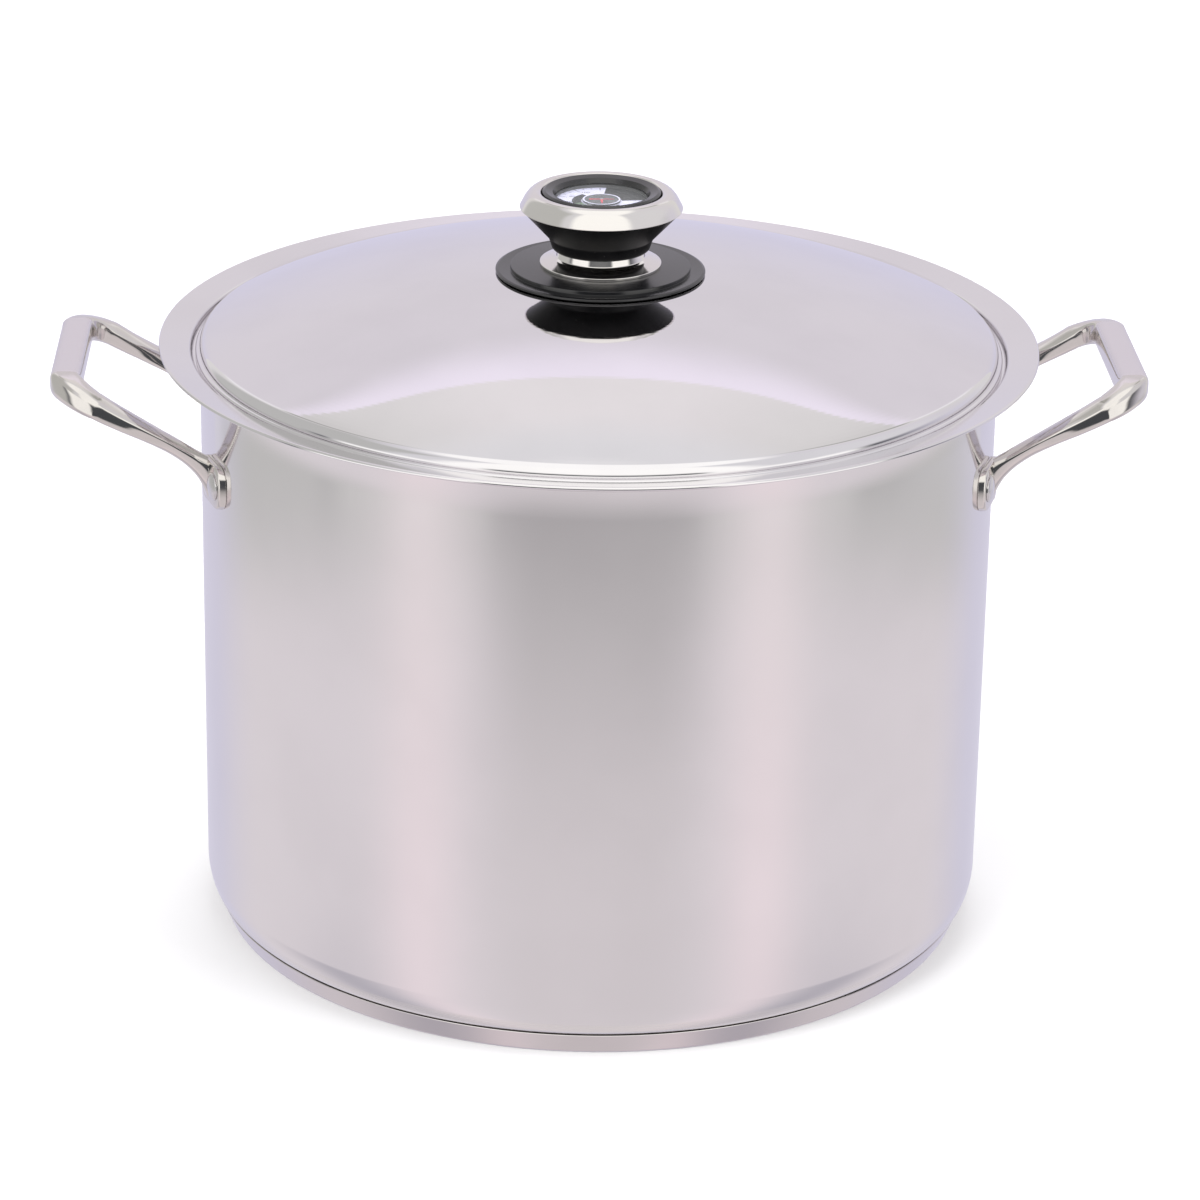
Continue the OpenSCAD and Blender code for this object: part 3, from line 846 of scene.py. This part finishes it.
def build_bezel(knob_steel):
    """The steel ring round the window, rounded outside and inside."""
    hole, top = RING_R + 0.3, BEZEL_TOP
    crown = (hole + 2.7, top)
    outside = [(BEZEL_R, BEZEL_Z + 0.4), (BEZEL_R - 1.6, BEZEL_Z + 3.6), (BEZEL_R - 2.9, top - 0.6), crown]
    inside = [crown, (hole + 1.3, top), (hole + 0.2, top - 0.5), (hole, top - 1.3)]
    outline = [(hole, BEZEL_Z), (BEZEL_R - 0.3, BEZEL_Z), (BEZEL_R - 0.1, BEZEL_Z + 0.1)]
    outline += [tuple(bezier(outside, k / 28)) for k in range(29)]
    outline += [tuple(bezier(inside, k / 8)) for k in range(1, 9)]
    lathe("bezel_ring", outline, knob_steel, "knob", "knob_steel", "bezel")


def build_window_ring(glossy):
    """The black ring over the lens, which sinks towards the window."""
    window, lens_hole = 18.2, LENS_R + 0.1
    corners = [
        (window, BOSS_Z - 0.4, 0), (lens_hole, BOSS_Z - 0.4, 0), (lens_hole, BOSS_Z, 0),
        (RING_R, BOSS_Z, 0.1), (RING_R, RING_TOP - 0.6, 0.3), (RING_R - 1.1, RING_TOP, 0.5),
        (window + 1.3, RING_TOP - 0.8, 0.4), (window + 0.05, BOSS_Z - 0.2, 0.2),
    ]
    lathe("window_ring", rounded(corners), glossy, "knob", "black_phenolic", "lens_ring")


# ---------------------------------------------------------------- thermometer

INK_H = 0.02
SCALE_END = 90
TICK_STEP = 11.5
NUMBERS = (("20", 221), ("60", 186), ("80", 152), ("100", 118))
POINTER_R = 7.6
POINTER_REST = 235


def sector(bm, r0, r1, a0, a1, z, h=INK_H, n=40):
    """A raised patch of ink between two radii and two angles, anticlockwise from the right in degrees."""
    outer = [polar(r1, a0 + (a1 - a0) * k / n) for k in range(n + 1)]
    inner = [polar(r0, a1 + (a0 - a1) * k / n) for k in range(n + 1)]
    loops = []
    for level in (z, z + h):
        loops.append([bm.verts.new((x * MM, y * MM, level * MM)) for x, y in outer + inner])
    last = 2 * n + 1
    for k in range(n):
        for loop in loops:
            bm.faces.new((loop[k], loop[k + 1], loop[last - 1 - k], loop[last - k]))
    bridge(bm, *loops)


def ink(name, patches, mat, slot, body, z):
    bm = bmesh.new()
    for patch in patches:
        sector(bm, *patch, z)
    placed(finish_mesh(bm, name, mat, 30), body, slot)


def disc(hole, r, z0, z1, low_fillet, high_fillet):
    """The outline of a flat disc, rounded at its rim."""
    return rounded([(hole, z0, 0), (r, z0, low_fillet), (r, z1, high_fillet), (hole, z1, 0)])


def build_dial(white, dark, green, clear):
    """The dial plate with its print, and the window over it."""
    arbor_hole, band_r0, band_r1, sector_r = 1.2, 8.1, 11.8, 18.6
    plate = disc(arbor_hole, DIAL_R - 0.2, DIAL_Z, DIAL_TOP, 0.1, 0.15)
    lathe("dial_face", plate, white, "knob", "dial_enamel", "dial_plate", 128)
    dark_patches = [(band_r0, sector_r, 4, 82), (band_r0, sector_r, 232, 322)]
    ink("dial_dark", dark_patches, dark, "dial_enamel", "knob", DIAL_TOP)
    ink("dial_band", [(band_r0, band_r1, 128, 196)], dark, "dial_enamel", "knob", DIAL_TOP)
    ink("dial_green", [(band_r0, band_r1, 196, 232)], green, "dial_enamel", "knob", DIAL_TOP)
    bm = bmesh.new()
    for k in range(13):
        a = SCALE_END + k * TICK_STEP
        start = 16.4 if k % 3 else 14.6
        sector(bm, start, 17.9, a - 0.45, a + 0.45, DIAL_TOP + INK_H, INK_H / 2, 2)
    placed(finish_mesh(bm, "dial_ticks", dark, 30), "knob", "dial_enamel")
    for text, a in NUMBERS:
        build_number(text, a, dark)
    pane = disc(0, LENS_R, LENS_Z, LENS_TOP, 0.2, 0.2)
    lathe("window_glass", pane, clear, "knob", "lens_glass", "lens", 128)


def build_number(text, angle, mat):
    """One plain number, lying flat on the dial."""
    name, height, radius, lift = "dial_number_" + text, 2.4, 13.0, 0.012
    curve = bpy.data.curves.new(name, "FONT")
    curve.body = text
    curve.size = height * MM
    curve.align_x = curve.align_y = "CENTER"
    holder = bpy.data.objects.new("holder", curve)
    bpy.context.scene.collection.objects.link(holder)
    drawn = holder.evaluated_get(bpy.context.evaluated_depsgraph_get())
    mesh = bpy.data.meshes.new_from_object(drawn)
    bpy.data.objects.remove(holder)
    x, y = polar(radius * MM, angle)
    mesh.transform(Matrix.Translation((x, y, (DIAL_TOP + lift) * MM)))
    mesh.materials.clear()
    mesh.materials.append(mat)
    obj = bpy.data.objects.new(name, mesh)
    bpy.context.scene.collection.objects.link(obj)
    placed(obj, "knob", "dial_enamel")


def add_spoke(bm, corners, degrees, z0, z1):
    """A thin four-sided patch; its corners are given outwards and sideways from the axis."""
    a = math.radians(degrees)
    flat = [(u * math.cos(a) - v * math.sin(a), u * math.sin(a) + v * math.cos(a)) for u, v in corners]
    low, high = ([bm.verts.new((x * MM, y * MM, z * MM)) for x, y in flat] for z in (z0, z1))
    bm.faces.new(low)
    bm.faces.new(high)
    bridge(bm, low, high)


def build_pointer(grey, white, red):
    """A grey disc with a white rim, a tip that points at the scale, and a red mark."""
    lo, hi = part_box("pointer")
    z0, z1 = lo[2] / MM, hi[2] / MM
    bm = bmesh.new()
    spin(bm, refined(disc(0.72, POINTER_R, z0, z1, 0.1, 0.15), 2, 0.05), 128)
    root, tip, half, half_tip = POINTER_R - 1, 11.3, 1.6, 0.12
    corners = ((root, -half), (tip, -half_tip), (tip, half_tip), (root, half))
    add_spoke(bm, corners, POINTER_REST, z0 + 0.05, z1 - 0.05)
    placed(finish_mesh(bm, "pointer_disc", grey, 30), "pointer", "pointer_paint", "pointer")
    rim = (POINTER_R - 0.75, POINTER_R - 0.1, 0, 359.9)
    ink("pointer_rim", [rim], white, "pointer_paint", "pointer", z1)
    bm = bmesh.new()
    for half, start, end, degrees in ((0.55, -5.0, 5.0, 0), (0.6, 0.0, 5.6, -90)):
        corners = ((start, -half), (end, -half * 0.4), (end, half * 0.4), (start, half))
        add_spoke(bm, corners, degrees, z1, z1 + 0.03)
    placed(finish_mesh(bm, "pointer_mark", red, 30), "pointer", "pointer_paint")


# ---------------------------------------------------------------- studio

# where the camera stands round the pot, in degrees from the front
CAMERA_TURN = -2.35


def build_camera():
    """The photograph's view: 21.7 degrees down, 1.9 m away, a 135 mm lens."""
    away, height, down, roll, aside = 1.7215, 0.8145, 21.707, -0.974, -0.069
    data = bpy.data.cameras.new("camera")
    data.sensor_width = 36
    data.lens = 135.23
    data.clip_start, data.clip_end = 0.05, 60
    cam = bpy.data.objects.new("camera", data)
    bpy.context.scene.collection.objects.link(cam)
    aim = Matrix.Rotation(math.radians(CAMERA_TURN + aside), 4, "Z")
    aim = aim @ Matrix.Rotation(math.radians(90 - down), 4, "X")
    aim = aim @ Matrix.Rotation(math.radians(-roll), 4, "Z")
    spot = Matrix.Rotation(math.radians(CAMERA_TURN), 4, "Z") @ Vector((0, -away, height))
    cam.matrix_world = Matrix.Translation(spot) @ aim
    bpy.context.scene.camera = cam


# what the steel itself takes away from a reflection is given back here
STEEL_GAIN = 1.0 / 0.84


def tone(r, g, b):
    return srgb(r, g, b, STEEL_GAIN)


def seen_in_steel(tree):
    """What the steel reflects, by direction: a light tent with a dark gap behind the camera, a soft box on
    each side of it, a pale back wall that ends in an arch, and a bright ceiling. az 0 is the camera's side."""
    co = tree.nodes.new("ShaderNodeTexCoord").outputs["Generated"]
    spun = tree.nodes.new("ShaderNodeVectorRotate")
    spun.rotation_type = "Z_AXIS"
    spun.inputs["Angle"].default_value = math.radians(-CAMERA_TURN)
    tree.links.new(co, spun.inputs["Vector"])
    x, y, z = (Num(tree, s) for s in split(tree, spun.outputs[0]))
    degree = 180 / math.pi
    el = z.math("ARCSINE") * degree
    az = x.math("ARCTAN2", y * -1.0) * degree
    out = az.abs()
    ceiling = tone(253, 252, 250)
    near_ceiling = (61, 70)

    # below the horizon: the white table runs into shade towards the camera
    low = el.step(-20.3, -25.5)
    centre = blend(tree, low, tone(173, 170, 171), tone(207, 201, 204))
    flank = blend(tree, el.step(-20.3, -22.2), tone(187, 186, 185), tone(213, 207, 211))
    floor = blend(tree, out.step(14, 46), centre, flank)
    pink = blend(tree, low, tone(221, 213, 215), tone(229, 217, 221))
    floor = blend(tree, out.bump(51, 13) * 0.95, floor, pink)
    floor = blend(tree, out.step(115, 150), floor, tone(201, 198, 213))
    floor = blend(tree, out.bump(80, 22) * el.step(-25, -29), floor, tone(178, 174, 182))

    # level with the pot: dark behind the camera, soft boxes beside it, pale walls further back
    box = out.step(26, 34) * out.step(84, 72)
    level = blend(tree, out.step(75, 120), tone(70, 72, 76), tone(206, 203, 214))
    level = blend(tree, box, level, tone(252, 251, 249))
    side = blend(tree, out.step(95, 150), tone(212, 211, 214), tone(208, 203, 211))
    front = blend(tree, out.step(40, 52), tone(255, 254, 251), side)
    upper = blend(tree, el.step(8, 22), level, front)

    # the back wall ends in an arch, brightest just under its edge
    back_az = (out - 180.0).abs()
    edge = (back_az / 25.2).math("POWER", 10.0) * -2.0 + 44.9
    under = edge - el
    wall = blend(tree, el.step(-12, 24), tone(200, 197, 216), tone(211, 206, 212))
    rim = (under / (back_az * -0.42 + 15.0)).step(1, 0)
    wall = blend(tree, rim, wall, tone(235, 228, 240))
    over = blend(tree, back_az.step(8, 27), tone(225, 221, 222), tone(214, 212, 211))
    over = blend(tree, el.step(52, 60), over, tone(219, 218, 220))
    over = blend(tree, el.step(*near_ceiling), over, ceiling)
    back = blend(tree, under.step(-0.25, 0.25), over, wall)

    # the arch's foot on either side: dark above its shoulder, bright below
    foot = back_az.bump(32.5, 4)
    back = blend(tree, foot * el.step(39, 42) * el.step(62, 52), back, tone(152, 152, 149))
    back = blend(tree, foot * el.step(22, 28) * el.step(41, 38), back, tone(232, 230, 233))
    upper = blend(tree, back_az.step(60, 34), upper, back)

    # a greyer panel on the left, wider above
    panel = az.step(-56, -68) * az.step(-142, -134) * el.step(62, 52) * el.step(8, 20)
    panel = panel + az.step(-80, -92) * az.step(-142, -134) * el.step(20, 8)
    upper = blend(tree, panel, upper, tone(183, 183, 181))
    upper = blend(tree, el.step(*near_ceiling), upper, ceiling)
    return blend(tree, el.step(-20.5, -17.5), floor, upper)


def background(tree, colour, strength=1.0):
    node = tree.nodes.new("ShaderNodeBackground")
    feed(tree, node.inputs["Color"], colour)
    node.inputs["Strength"].default_value = strength
    return node.outputs[0]


def mixed(tree, factor, a, b):
    """Shader a where factor is 0 and b where it is 1."""
    node = tree.nodes.new("ShaderNodeMixShader")
    for socket, v in zip(node.inputs, (factor, a, b)):
        tree.links.new(v, socket)
    return node.outputs[0]


def build_world():
    """White to the camera, the tent to the glossy rays, and soft even light to all others."""
    world = bpy.data.worlds.new("tent")
    bpy.context.scene.world = world
    world.use_nodes = True
    tree = world.node_tree
    tree.nodes.clear()
    glossy = background(tree, seen_in_steel(tree))
    soft = background(tree, (1, 0.99, 1), 0.9)
    white = background(tree, (1, 1, 1))
    rays = tree.nodes.new("ShaderNodeLightPath").outputs
    lit = mixed(tree, rays["Is Glossy Ray"], soft, glossy)
    end = tree.nodes.new("ShaderNodeOutputWorld")
    tree.links.new(mixed(tree, rays["Is Camera Ray"], lit, white), end.inputs["Surface"])


def build_floor():
    """A plain pale floor that the steel doesn't see: the tent has its own."""
    bm = bmesh.new()
    bmesh.ops.create_circle(bm, cap_ends=True, radius=12, segments=96)
    mesh = bpy.data.meshes.new("floor")
    bm.to_mesh(mesh)
    bm.free()
    obj = bpy.data.objects.new("floor", mesh)
    bpy.context.scene.collection.objects.link(obj)
    mat, _, shader = new_material("floor_paint", (0.86, 0.86, 0.87), 0, 0.9)
    shader.inputs["Specular IOR Level"].default_value = 0.0
    mesh.materials.append(mat)
    obj.visible_glossy = False


def soft_light(name, where, watts):
    """A round lamp 1.8 m across, aimed at the pot's middle and hidden from camera and steel."""
    middle = Vector((0, 0, 0.15))
    data = bpy.data.lights.new(name, "AREA")
    data.shape = "DISK"
    data.size = 1.8
    data.energy = watts
    obj = bpy.data.objects.new(name, data)
    bpy.context.scene.collection.objects.link(obj)
    aim = (Vector(where) - middle).to_track_quat("Z", "Y").to_matrix().to_4x4()
    obj.matrix_world = Matrix.Translation(where) @ aim
    obj.visible_glossy = False
    obj.visible_camera = False


# ---------------------------------------------------------------- the whole


def paint_inner_pieces(bright, rubber):
    """Pieces that the CAD's own mesh shows well enough, out of sight inside."""
    brass = matt("brass", srgb(196, 160, 92), 0.15, 0.3, 500, 1.0, True)
    bimetal = matt("bimetal", srgb(176, 122, 84), 0.25, 0.32, 700, 1.0)
    alloy = matt("cup_alloy", srgb(190, 190, 192), 0.1, 0.35, 400, 1.0, True)
    cast = matt("core_alloy", srgb(184, 185, 188), 0.12, 0.45, 90, 1.0)
    for node, mat in (
        ("base_core", cast), ("threaded_insert", brass), ("gauge_cup", alloy), ("arbor_bush", brass),
        ("bimetal_coil", bimetal), ("coil_post", brass), ("arbor", bright), ("lens_gasket", rubber),
    ):
        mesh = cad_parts[node].data
        mesh.materials.clear()
        mesh.materials.append(mat)


def main():
    build_camera()
    steel_lid = steel("steel_lid", srgb(236, 234, 236), 0.035, turned=0.6, waves=40, blotch=0.012)
    steel_base = steel("steel_base", srgb(222, 217, 217), 0.16, turned=2.0, waves=30, blotch=0.05)
    knob_steel = steel("steel_knob", srgb(236, 233, 230), 0.1, turned=0.8, waves=10, blotch=0.03)
    bright = steel("steel_bright", srgb(222, 220, 220), 0.17, turned=0.8, waves=12, blotch=0.06)
    rubber = matt("silicone_grey", srgb(70, 70, 72), 0.12, 0.55, 260)
    white = matt("enamel_white", srgb(214, 214, 238), 0.04, 0.42, 300)
    dark = matt("ink_dark", srgb(40, 42, 46), 0.2, 0.45, 420)
    green = matt("ink_green", srgb(92, 118, 92), 0.25, 0.45, 420)
    red = matt("ink_red", srgb(206, 70, 84), 0.15, 0.45, 420)
    grey = matt("pointer_grey", srgb(88, 92, 96), 0.25, 0.4, 380)
    cast_steel = handle_steel()
    paint_inner_pieces(bright, rubber)

    build_pot(body_steel(), steel_base)
    build_lid(steel_lid, bright, rubber)
    build_bolt(bright)
    build_handle("handle_west", "handle_left", True, cast_steel)
    build_handle("handle_east", "handle_right", False, cast_steel)
    build_rivets("rivets_west", "rivets_left", 180, bright)
    build_rivets("rivets_east", "rivets_right", 0, bright)
    build_shield(phenolic("black_phenolic", 17, 0.2, 0.75))
    build_collar(knob_steel)
    build_grip(phenolic("black_grip", 13, 0.36, 0.16))
    build_bezel(knob_steel)
    build_window_ring(phenolic("black_ring", 26, 0.22, 0.85))
    build_dial(white, dark, green, glass())
    build_pointer(grey, white, red)

    build_world()
    build_floor()
    soft_light("key", (-1.6, -1.8, 2.6), 55)
    soft_light("fill", (2.0, -1.2, 2.0), 35)
    soft_light("back", (0.3, 2.0, 2.4), 25)
    bpy.context.scene.view_settings.view_transform = "Standard"


main()
